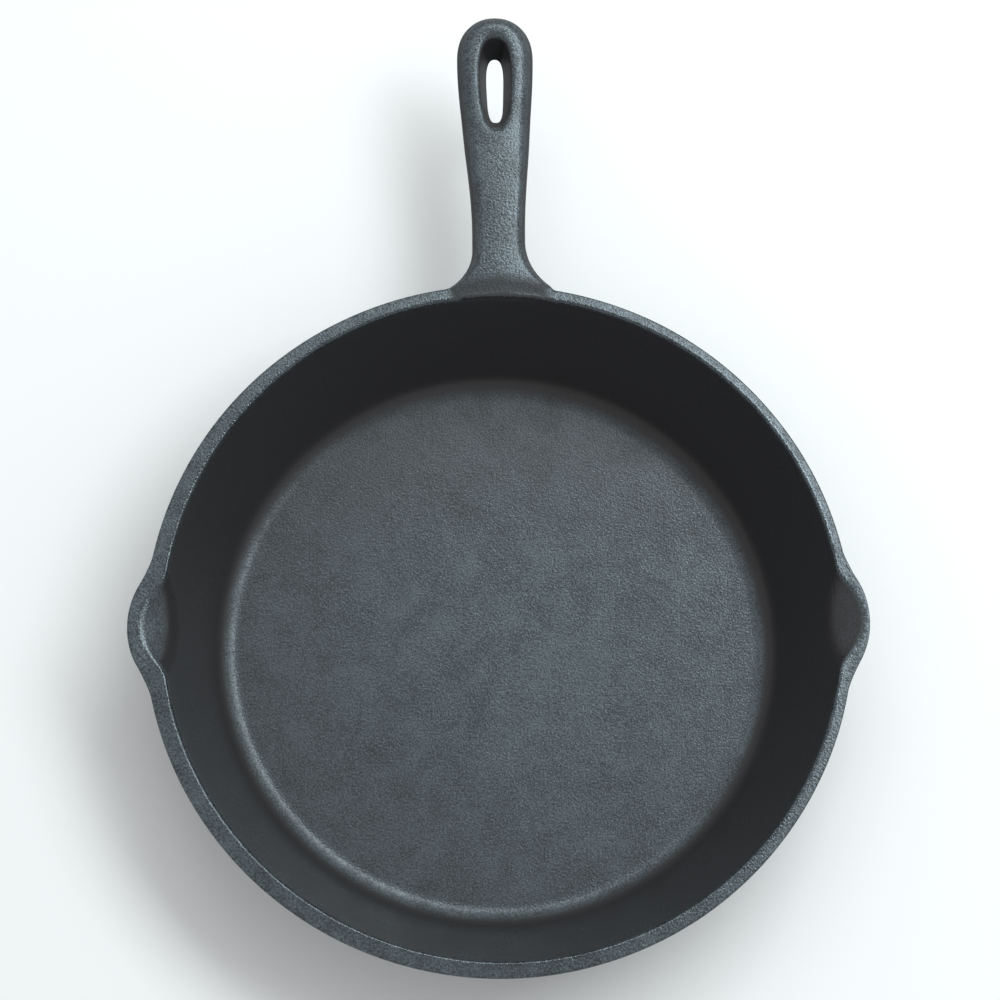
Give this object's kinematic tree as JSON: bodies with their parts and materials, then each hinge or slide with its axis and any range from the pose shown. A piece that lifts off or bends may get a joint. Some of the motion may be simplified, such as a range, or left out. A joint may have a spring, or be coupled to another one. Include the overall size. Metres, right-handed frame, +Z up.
{
  "type": "skillet",
  "caption": "Round cast iron skillet with flared walls, a pouring spout on each side and a straight handle with a hanging hole.",
  "frame": {"origin": "middle of the flat underside, on the surface that the pan stands on", "axes": "+Z up out of the bowl, +Y along the handle away from the bowl, +X towards the right pouring spout"},
  "size_m": [0.3202, 0.4312, 0.0619],
  "materials": {
    "cast_iron": "sand-cast and seasoned, dark grey, satin, with a fine grain"
  },
  "bodies": {
    "root": {"cooking_floor": "cast_iron", "front_wall": "cast_iron", "handle_side_wall": "cast_iron", "left_pour_spout": "cast_iron", "right_pour_spout": "cast_iron", "handle": "cast_iron"}
  },
  "joints": []
}
